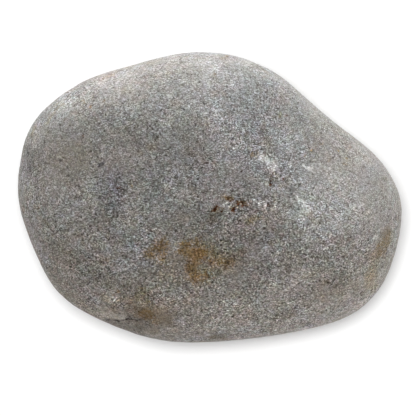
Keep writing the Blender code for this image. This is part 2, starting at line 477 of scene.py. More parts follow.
@dataclass(frozen=True)
class StoneFinish:
    """The stone's colour, speckle and gloss. Contrasts are in stops, and sizes in millimetres."""

    base: Colour = (0.2565, 0.2425, 0.2255)
    grains: Grains = Grains()
    grain_stretch: float = 1.25
    crumb_size: float = 0.85
    crumb_contrast: float = 0.15
    crumb_drift: float = -0.17
    crumb_hue_swing: float = 0.19
    crumb_green: float = 0.7
    mottles: tuple[Mottle, ...] = (
        Mottle(1.3, 3.0, 0.34, -0.15, 0.28),
        Mottle(2.6, 7.0, 0.6, -0.2, 0.43),
        Mottle(5.0, 5.0, 0.85, -0.25, 0.38),
        Mottle(11.0, 11.0, 1.1, -0.25, 0.35),
    )
    blooms: tuple[Bloom, ...] = (
        Bloom(1.7, 31.0, 0.58, 0.28, -0.05, 0.0),
        Bloom(3.0, 37.0, 0.57, -0.3, 0.22, 0.02),
        Bloom(1.2, 41.0, 0.6, -0.3, 0.05, 0.0),
    )
    veil_size: float = 8.0
    veil_seed: float = 2.0
    veil_swing: float = 1.6
    shade_stops: float = 1.0
    hue_stops: float = 0.30
    smooth_calm: float = 0.7
    bump_mm: float = 0.045
    roughness: float = 0.86
    roughness_swing: float = 0.08
    specular: float = 0.3
    hollow_shade: Colour = (0.62, 0.60, 0.57)
    pigments: tuple[PigmentFinish, ...] = (
        PigmentFinish(Trace.EARTH, (0.93, 0.86, 0.74), 1.6),
        PigmentFinish(Trace.OLIVE, (0.86, 0.85, 0.66), 1.6),
        PigmentFinish(Trace.OCHRE, (0.84, 0.62, 0.36), 1.1),
        # Dark tints real dark specks, and also paints shadow along the ledge and in the left rim's
        # notch.
        PigmentFinish(Trace.DARK, (0.36, 0.36, 0.37), 0.9),
        PigmentFinish(Trace.PALE, (2.1, 2.13, 2.15), 0.9),
        PigmentFinish(Trace.RUST, (0.32, 0.14, 0.065), 0.8),
    )

    def material(self, effects: StoneEffects) -> bpy.types.Material:
        """Makes the stone's material.

        Args:
            effects: The node groups that it places.

        Returns:
            The material, which reads Object coordinates and the painted attributes.
        """
        material = bpy.data.materials.new("water_worn_sandstone")
        material.use_nodes = True
        graph = Graph(material.node_tree)
        shader = material.node_tree.nodes["Principled BSDF"]
        coordinates = graph.add("ShaderNodeTexCoord").outputs["Object"]
        place = graph.vectors("SCALE", {0: coordinates, "Scale": PER_MM})
        squeezed = graph.vectors("MULTIPLY", {0: place, 1: (1.0 / self.grain_stretch, 1.0, 1.0)})
        grain = graph.group(effects.grain, {"Place": squeezed, **named_values(self.grains)})
        clouds = [(effects.mottle, mottle) for mottle in self.mottles]
        clouds += [(effects.bloom, bloom) for bloom in self.blooms]
        layers = [
            grain,
            self._crumbs(graph, place),
            *(graph.group(tree, {"Place": place, **named_values(layer)}) for tree, layer in clouds),
        ]
        swings = self._toned_down(graph, place, layers)
        tone = graph.group(effects.tone, {"Base": (*self.base, 1.0), **swings})
        colour = self._pigmented(graph, effects, tone["Colour"], grain["Chance"])
        graph.feed(shader.inputs["Base Color"], colour)
        worn = graph.maths("MULTIPLY_ADD", grain["Chance"], self.roughness_swing, self.roughness)
        graph.feed(shader.inputs["Roughness"], worn)
        bump = graph.add("ShaderNodeBump", {
            "Strength": 1.0, "Distance": self.bump_mm * MM, "Height": grain["Height"],
        })
        graph.feed(shader.inputs["Normal"], bump.outputs["Normal"])
        shader.inputs["Metallic"].default_value = 0.0
        shader.inputs["Specular IOR Level"].default_value = self.specular
        return material

    def _crumbs(self, graph: Graph, place: Socket) -> Swings:
        """Adds crumbs: clumps of a few grains that share a shade and a hue.

        Args:
            graph: The material's graph.
            place: Where each point is, in millimetres.

        Returns:
            The crumbs' swings.
        """
        shade, *hues = graph.split(graph.cells(place, self.crumb_size)["Color"])
        stops = graph.product(graph.minus_half(shade), self.crumb_contrast)
        return swung(graph, stops, hues, self.crumb_drift, self.crumb_hue_swing, self.crumb_green)

    def _toned_down(self, graph: Graph, place: Socket, layers: list[Swings]) -> Swings:
        """Adds the layers up, calms them where the stone is smooth, and adds the broad patches.

        Args:
            graph: The material's graph.
            place: Where each point is, in millimetres.
            layers: Each layer's swings.

        Returns:
            The swings of the whole.
        """
        smooth = graph.product(graph.painted(Trace.SMOOTH.value), self.smooth_calm)
        veil = graph.minus_half(graph.cloud(place, self.veil_size, self.veil_seed)[0])
        lively = graph.maths("MULTIPLY_ADD", veil, self.veil_swing, 1.0)
        kept = graph.product(graph.less(1.0, smooth), lively)
        swings = {
            name: graph.product(graph.total(*(layer[name] for layer in layers)), kept) for name in SWINGS
        }
        # Lighter and darker patches are partly the stone's own tone and partly painted light and shade.
        for name, more, less, reach in (
            ("Stops", Trace.LIGHTER, Trace.DARKER, self.shade_stops),
            ("Warmth", Trace.WARM, Trace.COOL, self.hue_stops),
        ):
            patch = graph.less(graph.painted(more.value), graph.painted(less.value))
            swings[name] = graph.maths("MULTIPLY_ADD", patch, reach, swings[name])
        return swings

    def _pigmented(self, graph: Graph, effects: StoneEffects, colour: Socket, chance: Socket) -> Socket:
        """Lets every pigment soak into a colour, and darkens the pits.

        Args:
            graph: The material's graph.
            effects: The node groups.
            colour: The clean stone.
            chance: Each grain's chance of being covered.

        Returns:
            The marked stone's colour.
        """
        masks = []
        for finish in self.pigments:
            painted = graph.painted(finish.trace.value)
            plugs = {"Mask": painted, "Chance": chance, "Softness": finish.softness}
            masks.append((graph.group(effects.coverage, plugs)["Mask"], finish.tint))
        masks.append((graph.painted(HOLLOW), self.hollow_shade))
        for mask, tint in masks:
            plugs = {"Colour": colour, "Mask": mask, "Pigment": (*tint, 1.0)}
            colour = graph.group(effects.tinge, plugs)["Colour"]
        return colour


def placed(name: str, data: bpy.types.ID) -> bpy.types.Object:
    """Makes an object and links it to the scene.

    Args:
        name: The object's name.
        data: Its mesh, light or camera.

    Returns:
        The object.
    """
    thing = bpy.data.objects.new(name, data)
    bpy.context.scene.collection.objects.link(thing)
    return thing


# ---- Marks on the stone ----


def read_points(data: bpy.types.Mesh) -> np.ndarray:
    """Reads where a mesh's vertices are.

    Args:
        data: The mesh.

    Returns:
        One row of X, Y and Z for each vertex, in metres.
    """
    points = np.empty(len(data.vertices) * 3)
    data.vertices.foreach_get("co", points)
    return points.reshape(-1, 3)


@dataclass(frozen=True)
class Blotch:
    """A round or oval patch on the upper side, strongest in its middle."""

    trace: Trace
    x: float
    y: float
    long_reach: float
    short_reach: float
    strength: float
    turn_deg: float = 0.0
    depth: float = 0.0

    def cover(self, x: np.ndarray, y: np.ndarray) -> np.ndarray:
        """Works out how much of the patch lies at each plan point.

        Args:
            x: The points' X.
            y: The points' Y.

        Returns:
            The cover, from 0 to 1.
        """
        turn = math.radians(self.turn_deg)
        along = (x - self.x) * math.cos(turn) + (y - self.y) * math.sin(turn)
        across = (y - self.y) * math.cos(turn) - (x - self.x) * math.sin(turn)
        return np.exp(-((along / self.long_reach) ** 2) - (across / self.short_reach) ** 2)

    def wider(self, margin: float) -> "Blotch":
        """The same patch with a margin round it."""
        return replace(self, long_reach=self.long_reach + margin, short_reach=self.short_reach + margin)


@dataclass(frozen=True)
class Streak:
    """A line through a few plan points, strongest along its middle."""

    trace: Trace
    path: tuple[tuple[float, float], ...]
    half_width: float
    strength: float
    depth: float = 0.0

    def cover(self, x: np.ndarray, y: np.ndarray) -> np.ndarray:
        """Works out how much of the line lies at each plan point.

        Args:
            x: The points' X.
            y: The points' Y.

        Returns:
            The cover, from 0 to 1.
        """
        nearest = np.full(x.shape, np.inf)
        for start, end in zip(self.path, self.path[1:]):
            step_x, step_y = end[0] - start[0], end[1] - start[1]
            length = math.hypot(step_x, step_y)
            along = ((x - start[0]) * step_x + (y - start[1]) * step_y) / length**2
            held = np.clip(along, 0.0, 1.0)
            gap = np.hypot(x - start[0] - held * step_x, y - start[1] - held * step_y)
            nearest = np.minimum(nearest, gap)
        return np.exp(-((nearest / self.half_width) ** 2))

    def wider(self, margin: float) -> "Streak":
        """The same line with a margin round it."""
        return replace(self, half_width=self.half_width + margin)


Mark = Blotch | Streak


def blotches(trace: Trace, *rows: tuple[float, ...]) -> tuple[Blotch, ...]:
    """Makes blotches of one kind.

    Args:
        trace: What they leave.
        *rows: For each, its middle's X and Y, its long and short reach and its strength,
            and then its turn and its depth where it has them.

    Returns:
        One blotch for each row.
    """
    return tuple(Blotch(trace, *row) for row in rows)


def specks(
    trace: Trace, reach: float, strength: float, depth: float, *places: tuple[float, float]
) -> tuple[Blotch, ...]:
    """Makes round specks of one kind.

    Args:
        trace: What they leave.
        reach: Their reach from the middle.
        strength: How strong they are.
        depth: How deep they are sunk.
        *places: Their middles.

    Returns:
        One blotch for each place.
    """
    return tuple(Blotch(trace, x, y, reach, reach, strength, depth=depth) for x, y in places)


OCHRE, EARTH, OLIVE, RUST = Trace.OCHRE, Trace.EARTH, Trace.OLIVE, Trace.RUST
PALE, DARK, SMOOTH = Trace.PALE, Trace.DARK, Trace.SMOOTH
WARM, COOL, LIGHTER, DARKER = Trace.WARM, Trace.COOL, Trace.LIGHTER, Trace.DARKER

# The iron stain below the middle, with its wings, its tail and the brown round it.
IRON_STAIN: tuple[Mark, ...] = (
    *blotches(OCHRE,
        (-5.4, -9.6, 1.38, 1, 0.76), (-2.9, -8.8, 1.5, 1, 0.5, 20), (-4.4, -11.7, 1.75, 1.13, 1, -20),
        (-2.4, -11.2, 2, 1.5, 0.95), (-1, -11.4, 1.05, 0.8, 0.58), (-3.2, -13.2, 1.38, 1.13, 1, 90),
        (-4.3, -14.4, 1.38, 1, 0.95), (-3.7, -16, 1.38, 1.05, 0.9, 20),
        (-3.2, -17.5, 1.13, 0.75, 0.53, 90), (-6.3, -10.8, 0.88, 0.63, 0.58),
        (-10.7, -10, 1.63, 1.25, 0.71, 60), (-9.5, -9.5, 1.38, 1.13, 0.63, 20),
        (-12.6, -11.4, 1.38, 1.13, 0.57), (-9.5, -12.5, 1.88, 1.05, 0.76, 90),
        (0.3, -13, 1.5, 1, 0.32), (2.1, -13.1, 1.75, 1.25, 0.38), (3.4, -13.5, 1.25, 1, 0.38),
        (3.9, -13, 0.88, 0.75, 0.38), (-0.9, -16, 1.5, 1.13, 0.59)),
    *blotches(DARKER,
        (-5.7, -10.1, 0.92, 0.82, 0.16), (-3.8, -14, 1.23, 1.02, 0.38), (6.4, -11, 1.23, 0.92, 0.3),
        (-12.6, -11.4, 1.23, 1.02, 0.35), (-10.8, -9.8, 0.82, 0.9, 0.46),
        (-8.9, -12.8, 0.7, 0.92, 0.46), (-1.4, -14, 0.82, 1.43, 0.55), (-1, -16.1, 1.84, 1.23, 0.25),
        (-10.7, -10.6, 2.5, 1.8, 0.16, 20)),
    *blotches(OLIVE,
        (-12.6, -11.7, 1.48, 1.23, 0.8), (-1.6, -15.4, 1.23, 0.98, 0.57),
        (-1.1, -17.1, 1.6, 1.11, 0.69), (2.3, -12.3, 3, 2, 0.69), (-1.1, -10, 3.4, 2, 0.57)),
    *blotches(LIGHTER,
        (0.3, -13.2, 1.02, 0.82, 0.24), (4.7, -14.9, 1.02, 0.49, 0.3, 15),
        (-10.6, -12.3, 0.82, 0.74, 0.7), (-7.2, -9.6, 1.02, 1.02, 0.65),
        (-7.8, -11.5, 1.02, 0.61, 0.2, 80), (-11.2, -11.4, 0.61, 0.51, 0.25)),
    *blotches(EARTH,
        (2.4, -13.4, 3.5, 2.1, 1, -8), (-4.4, -12.7, 8, 5.2, 0.84, 5), (6.4, -11, 1.18, 0.94, 0.95)),
    *blotches(COOL,
        (-10.6, -12.3, 0.82, 0.74, 0.3), (-7.5, -9.9, 1.23, 1.43, 0.5),
        (-2.8, -14.9, 0.72, 0.61, 0.6)),
    *blotches(SMOOTH, (-2.6, -12.6, 3.7, 3.1, 0.2), (-10.5, -10.4, 1.8, 1.6, 0.35)),
)
# Tan, brown and olive stains round the ledge, and the small ones elsewhere.
SMALL_STAINS: tuple[Mark, ...] = (
    *blotches(OCHRE,
        (-13.8, -23.7, 1.88, 1.38, 0.46, 20), (-12.4, -24.2, 1.63, 1.25, 0.48),
        (-11.6, -25.3, 1, 1, 0.37), (-19.3, -19.4, 0.9, 0.65, 0.53, 20),
        (-17.5, -18.3, 0.85, 0.5, 0.38, -30), (-16.2, -21.3, 0.65, 0.85, 0.38),
        (-12.5, -21.4, 0.65, 0.5, 0.42), (8.9, -4.5, 1.63, 0.85, 0.4, 10),
        (-13.9, -18.6, 0.88, 0.55, 0.42), (-16.1, 2.4, 0.7, 0.5, 0.47), (-15, -0.2, 0.5, 0.4, 0.37),
        (27.7, 7, 0.7, 0.45, 0.53), (2.7, 28.4, 1, 0.5, 0.42), (2.8, 10.5, 0.63, 0.5, 0.42)),
    *specks(OCHRE, 0.43, 0.63, 0,
        (-21.7, 19.9), (-24.6, 18.6), (1.1, 25), (-26, 19.6), (3.4, 29.2), (20.4, 9.8), (26.4, 9.4),
        (28.1, 8.2), (8.3, 8.7)),
    *specks(OCHRE, 0.35, 0.47, 0,
        (21.4, 10.5), (24.4, 7.5), (28.9, 10), (22.6, 11.1), (19.2, 8.6), (-16.3, 2.7), (15.5, 16.8),
        (-11.2, 24.6), (-29.2, 11.7)),
    *blotches(EARTH,
        (-13, -23.8, 3.1, 2, 1), (-9.4, -24.9, 2.4, 1.9, 0.84), (-16.6, -20.8, 3.8, 2.1, 0.65, -30)),
    Streak(EARTH, ((-36.3, 14.5), (-36.7, 12.9)), 0.52, 0.95),
    *blotches(DARKER,
        (-13.2, -23.8, 2.46, 1.43, 0.2), (-18.4, -19.7, 1.23, 0.61, 0.12, 40),
        (-15.3, -20.6, 0.82, 1.02, 0.12), (8.5, -4.5, 1.64, 1.02, 0.26, 10)),
    *blotches(OLIVE,
        (-13.5, -19.4, 1.23, 1.11, 0.69), (-14.9, -20.7, 0.98, 0.49, 0.8, 80),
        (-12.9, -21.1, 0.61, 0.49, 0.8), (8.8, -4.5, 1.84, 1.08, 1, 10), (14.2, 17, 0.54, 0.59, 1),
        (-27.4, 7.8, 7.4, 4.2, 0.34)),
    *blotches(LIGHTER,
        (-17, -20, 0.53, 0.82, 0.3, 40), (-11.7, -18.8, 0.74, 0.82, 0.35),
        (-5.1, -4, 1.43, 0.92, 0.36)),
    *blotches(WARM, (-27.1, 7.9, 4.9, 2.7, 0.3), (-5.1, -4, 1.84, 1.02, 0.6)),
    *blotches(RUST, (-5.1, -4, 1.25, 0.63, 0.1)),
)
# The rusty pits near the middle, with pale crumbs among them and beside them.
PITTED_SPOT: tuple[Mark, ...] = (
    *blotches(OCHRE,
        (0.9, -2.5, 1.15, 0.7, 0.63, 35), (2.2, -2.7, 0.65, 0.7, 0.53), (3.6, 0, 1.1, 0.9, 0.95),
        (4.8, -2.5, 0.85, 0.8, 0.68), (6.5, -0.9, 1.45, 0.8, 0.95, -10), (9.4, 8.3, 0.9, 0.75, 0.53),
        (12.5, 4.3, 0.7, 0.7, 0.21), (12.5, 2.6, 0.55, 0.7, 0.21)),
    *blotches(RUST,
        (0.2, -2.9, 0.38, 0.23, 0.75), (0.8, -2.5, 0.44, 0.29, 0.9, 35, 0.04),
        (1.4, -2.2, 0.38, 0.23, 0.9, 20, 0.04), (2.3, -2.9, 0.4, 0.27, 0.75, 90),
        (3.4, 0, 0.44, 0.29, 0.86, 90, 0.07), (3.7, -0.7, 0.38, 0.27, 0.78, 0, 0.04),
        (4.4, -0.4, 0.54, 0.21, 0.55, -60, 0.03), (4.8, -2.6, 0.52, 0.36, 1, 55, 0.05),
        (5, -2, 0.27, 0.21, 0.7, 90), (5.5, -0.9, 0.36, 0.25, 0.7, 90, 0.04),
        (6.5, -0.8, 0.56, 0.29, 1, 0, 0.07), (5.8, -1.5, 0.31, 0.23, 0.85),
        (6.7, -1.6, 0.42, 0.31, 1, 0, 0.07), (7.3, -0.8, 0.4, 0.25, 0.5, 90),
        (12.4, -1.3, 0.42, 0.31, 0.6), (12.4, 4.4, 0.42, 0.29, 0.95, 90),
        (12.4, 3.2, 0.42, 0.29, 1, 60, 0.03), (12.4, 2.4, 0.4, 0.36, 1, 0, 0.03),
        (15, 3.9, 0.38, 0.27, 0.9, 90, 0.05), (12, 11, 0.48, 0.21, 0.45)),
    *specks(RUST, 0.27, 0.75, 0, (11.8, -1.5), (13, -1.6), (13.3, -0.6)),
    *specks(RUST, 0.27, 0.6, 0, (12.5, 5), (12.4, 1.7), (6.1, 5.5)),
    *blotches(DARK,
        (3.7, -1.5, 0.39, 0.24, 0.85, 0, 0.08), (9.5, -1.5, 0.34, 0.26, 0.95, -20, 0.06),
        (8.5, -1.3, 0.47, 0.19, 0.5), (13.4, 5.2, 0.47, 0.39, 1, 0, 0.05),
        (15.5, 3.2, 0.43, 0.22, 0.45, -40), (16.4, 0.7, 0.45, 0.43, 0.65, 0, 0.06),
        (17.2, 1.1, 0.32, 0.22, 0.5)),
    *specks(DARK, 0.28, 0.85, 0.05, (6, -0.2), (9.9, -0.5), (11.8, -1.3), (12.1, -1.7), (12.8, -1.8)),
    *specks(DARK, 0.26, 0.5, 0, (5.7, -2.9), (2.9, -1.5), (11.1, -3.7), (11.5, -4)),
    *blotches(PALE,
        (3.1, -1.1, 0.46, 0.36, 0.92), (2.3, -1.6, 0.73, 0.29, 0.69, 35), (3, -3.5, 0.56, 0.39, 0.69),
        (10.7, -1, 0.73, 0.41, 0.57, -15), (13.4, -1.7, 0.63, 0.39, 0.69, 90),
        (13.7, -0.6, 0.58, 0.53, 0.57)),
    *specks(PALE, 0.34, 0.86, 0,
        (4.1, -1.4), (3.9, -2), (8.2, -0.5), (9, -0.5), (9.9, -1.4), (11.1, -1.7), (11, -2)),
    *specks(PALE, 0.34, 0.52, 0, (3.6, -3.2), (5.7, -1.4), (11.5, -0.4)),
    *blotches(LIGHTER, (3.1, -2.3, 1.02, 0.72, 0.3, 90), (9.7, -1.2, 2.67, 0.82, 0.18)),
    # Painted shadow along the edge just below the pits.
    Streak(DARKER, ((-0.8, -3.4), (2.4, -3.3), (6, -3.2)), 0.35, 0.62),
)
# White scuffs on the ridge.
SCUFFS: tuple[Mark, ...] = (
    *blotches(PALE,
        (13.6, 5.5, 0.39, 0.27, 0.69), (19.5, -1.8, 0.56, 0.48, 0.98), (20.1, -2.8, 0.53, 0.39, 0.4),
        (19.4, 6.3, 0.6, 0.34, 0.8, -50), (20.4, 6, 0.58, 0.41, 1), (17.1, 2.9, 0.77, 0.53, 0.69)),
    Streak(PALE, ((10.1, 9), (10.7, 8.3)), 0.46, 1),
    Streak(PALE, ((10.8, 8), (11.4, 7.4), (12, 6.8)), 0.85, 1),
    Streak(PALE, ((12.6, 6.7), (13.1, 5.8)), 0.9, 1),
    Streak(PALE, ((17.1, 0.8), (17.7, 0.1)), 0.27, 0.69),
    Streak(PALE, ((17.8, -0.2), (18.8, -1)), 0.51, 0.71),
    Streak(PALE, ((16.1, 7.2), (16.6, 6.4)), 0.39, 0.69),
    *specks(PALE, 0.34, 0.52, 0, (14.5, 11.1), (17.1, 7.1), (14.5, 6.7)),
    Streak(SMOOTH, ((10.7, 8.2), (11.5, 7.2), (13.1, 6.1)), 0.82, 0.7),
    Streak(SMOOTH, ((17.6, 0.1), (19.5, -1.7)), 0.66, 0.6),
)
# The brown streak by the broad end's rim.
RIM_STREAK: tuple[Mark, ...] = (
    Streak(EARTH, (
        (36.4, -7.3), (35.9, -8.7), (35.2, -10.7), (34.2, -12.3), (33.7, -14.3), (33.1, -16.3),
        (33.4, -18.4)), 1.41, 0.95),
    *blotches(OCHRE, (34.8, -12.1, 0.8, 0.85, 0.42), (33.2, -15.3, 1.5, 0.75, 0.37, 80)),
    Streak(OCHRE, ((36.4, -7.4), (35.7, -9.5), (35, -10.9)), 0.8, 0.44),
    Streak(DARKER, ((36.4, -7.2), (35.8, -9.1), (35, -11.2), (33.9, -13.9)), 0.92, 0.1),
    Streak(LIGHTER, ((36, -14.8), (34.7, -17)), 0.41, 0.35),
)
# Dark, reddish and pale specks, short lines, and small patches of paler and darker stone.
SPECKS: tuple[Mark, ...] = (
    *blotches(RUST,
        (13.4, 20.1, 0.54, 0.33, 0.5, 80), (-18.8, 2, 0.59, 0.29, 0.65),
        (-35.4, -2, 0.67, 0.23, 0.5, 15), (-15.8, -17.1, 0.63, 0.38, 0.35),
        (32.7, -7.3, 0.48, 0.33, 0.5, -35), (24.2, -4.7, 0.94, 0.42, 0.3, 10)),
    *specks(RUST, 0.33, 0.5, 0,
        (14.4, 16.6), (17.8, 16.8), (9.7, 5.9), (-26.1, 12.7), (-26.4, 0.6), (15.8, 16.9), (15.4, 21),
        (-11.9, -20.2), (-34.1, -1.1), (-2.7, 11.2)),
    *blotches(DARK,
        (-1.7, 13.3, 0.65, 0.41, 0.55, -15), (-8, 12.4, 0.5, 0.37, 0.65),
        (-21, -2.5, 0.77, 0.28, 0.6), (-29.3, -6.6, 0.45, 0.37, 0.85, 90),
        (-14.1, -25, 0.86, 0.28, 0.6, 15), (23.2, 1.7, 0.65, 0.28, 0.35, 25),
        (11.6, 14.5, 0.65, 0.24, 0.4)),
    Streak(DARK, ((-22.8, 6.3), (-22.4, 6.6), (-21.9, 6.9)), 0.3, 0.95),
    Streak(DARK, ((-22.2, 18.4), (-20.3, 19)), 0.17, 0.35),
    # Painted shade in the small notch of the left rim.
    Streak(DARK, ((-37.6, 9.5), (-37.5, 7.9), (-36.8, 6.1)), 0.62, 0.4),
    *specks(DARK, 0.34, 0.9, 0, (10.3, 13.9), (-9.4, 11)),
    *specks(DARK, 0.32, 0.65, 0,
        (-7.5, 12.3), (-5.1, 6.7), (-10, 5), (-25.8, 22.3), (2.3, 13.5), (-1.4, 19.4), (-19.9, 19.1),
        (-10.9, -14.6), (29.2, -7.8), (-20.1, -23), (4.2, 20.5)),
    *specks(DARK, 0.28, 0.5, 0,
        (-17, 16.4), (-29.4, 13.8), (-14.7, 17.7), (-18.4, 11.3), (-20.3, -0.7), (-12.5, -19),
        (-13, -21.1), (-19.5, -19.4), (-20.8, -23.8), (28.7, 8.9), (-2.4, 10.4), (9, 22.8),
        (3.5, 18.4), (5.9, -8.2), (-10.6, 22.3), (13.6, 14.3)),
    *blotches(DARKER, (16.3, 1.7, 0.92, 0.72, 0.3, 90)),
    # Painted shade in the small notch of the left rim.
    Streak(DARKER, ((-37.6, 9.9), (-37.3, 7.6), (-36.7, 5.2)), 0.66, 0.3),
    Streak(DARKER, ((0.8, -28.9), (2.7, -29.1)), 0.61, 0.5),
    # Painted shade along the edge of a small facet by the upper left rim.
    Streak(DARKER, ((-29.2, 20.9), (-26.6, 22.4), (-24.2, 24.1)), 0.61, 0.25),
    *blotches(PALE, (34.1, -8.3, 0.87, 0.34, 0.52, 55), (-7.6, -17.5, 0.51, 0.29, 0.46, 90)),
    *specks(PALE, 0.39, 0.92, 0, (-4.4, -20.9)),
    *specks(PALE, 0.36, 0.57, 0,
        (-32.8, -2.7), (-21.3, -20.1), (-2.6, -18.9), (22.6, -21.8), (32.5, -2.9), (2, 15.8),
        (-9.7, 15.1), (0.5, 18.4), (13.6, -8.5), (5.1, -12.2)),
    Streak(PALE, ((-20.6, -21.9), (-19.3, -20.7)), 0.22, 0.8),
    Streak(PALE, ((-20.1, -22.5), (-18.4, -20.8)), 0.22, 0.8),
    Streak(PALE, ((-20.8, -21.2), (-19.9, -20.3)), 0.22, 0.69),
    Streak(PALE, ((-19.4, -22.8), (-18.1, -21.4)), 0.19, 0.57),
    *blotches(LIGHTER,
        (-19.5, -20.9, 1.43, 0.86, 0.5, -20), (-11.5, -19.3, 1.02, 0.7, 0.6, 80),
        (-14.9, -21.9, 1.02, 0.57, 0.35, 40), (-6.3, -19.2, 0.82, 0.82, 0.35),
        (-8.2, -27.1, 1.02, 0.78, 0.6), (-16.1, -5.5, 0.94, 0.82, 0.6),
        (-24.3, 1.6, 0.74, 0.61, 0.35), (-9.4, 15.1, 1.23, 0.82, 0.35, -20),
        (-8.1, 21.1, 0.7, 0.41, 0.3, 80), (19, -16, 1.23, 0.82, 0.3, 80),
        (35.1, -6.4, 0.66, 0.41, 0.35, 70)),
    Streak(LIGHTER, ((-12.2, -16.8), (-10.7, -15.8), (-8.4, -14.9)), 0.53, 0.28),
    Streak(EARTH, ((0.3, -28.8), (2.9, -29.1)), 0.71, 0.84),
)
# The shadowed line under the ledge, and the smoother, browner layer that it bares.
LEDGE: tuple[Mark, ...] = (
    # Painted shadow: the dark and brown line under the ledge's step.
    Streak(DARK, ((-21.8, -25.3), (-20.6, -25.2), (-19.4, -25.6)), 0.17, 0.4),
    Streak(DARK, (
        (-19.7, -25.6), (-18.7, -25.7), (-17.9, -25.2), (-16.9, -24.9), (-16.1, -24.8)),
        0.15, 0.8, 0.06),
    Streak(DARK, ((-16.1, -24.8), (-15.5, -25.2), (-14.9, -25.4), (-14.1, -25.2)), 0.17, 0.5, 0.04),
    Streak(RUST, ((-19, -25.7), (-17.9, -25.2), (-16.9, -24.9), (-15.8, -25)), 0.19, 0.4),
    *blotches(LIGHTER, (-21.8, -23.5, 1.64, 0.82, 0.3, -25)),
    Streak(LIGHTER, ((-22.2, -24.1), (-20.3, -24.4), (-19, -24.8), (-17.9, -24.7)), 0.53, 0.6),
    Streak(LIGHTER, ((-14.2, -27.6), (-11.3, -27.9)), 0.74, 0.2),
    *blotches(SMOOTH, (-13, -24, 2.5, 1.5, 0.95), (-9.4, -24.9, 1.8, 1.6, 0.7)),
    Streak(SMOOTH, ((-22.5, -23.5), (-20.2, -24.1), (-18.9, -24.5), (-17.3, -24.4)), 0.92, 0.4),
    Streak(SMOOTH, ((-20.3, -26), (-17.7, -26.9), (-14.5, -27.5), (-11.5, -27.8)), 1.23, 0.6),
    Streak(EARTH, ((-20.3, -26), (-17.7, -26.9), (-14.5, -27.5), (-11.4, -28)), 1.3, 0.47),
    Streak(DARKER, ((-21.4, -25.6), (-17.7, -26.9), (-14.5, -27.5)), 0.82, 0.28),
)
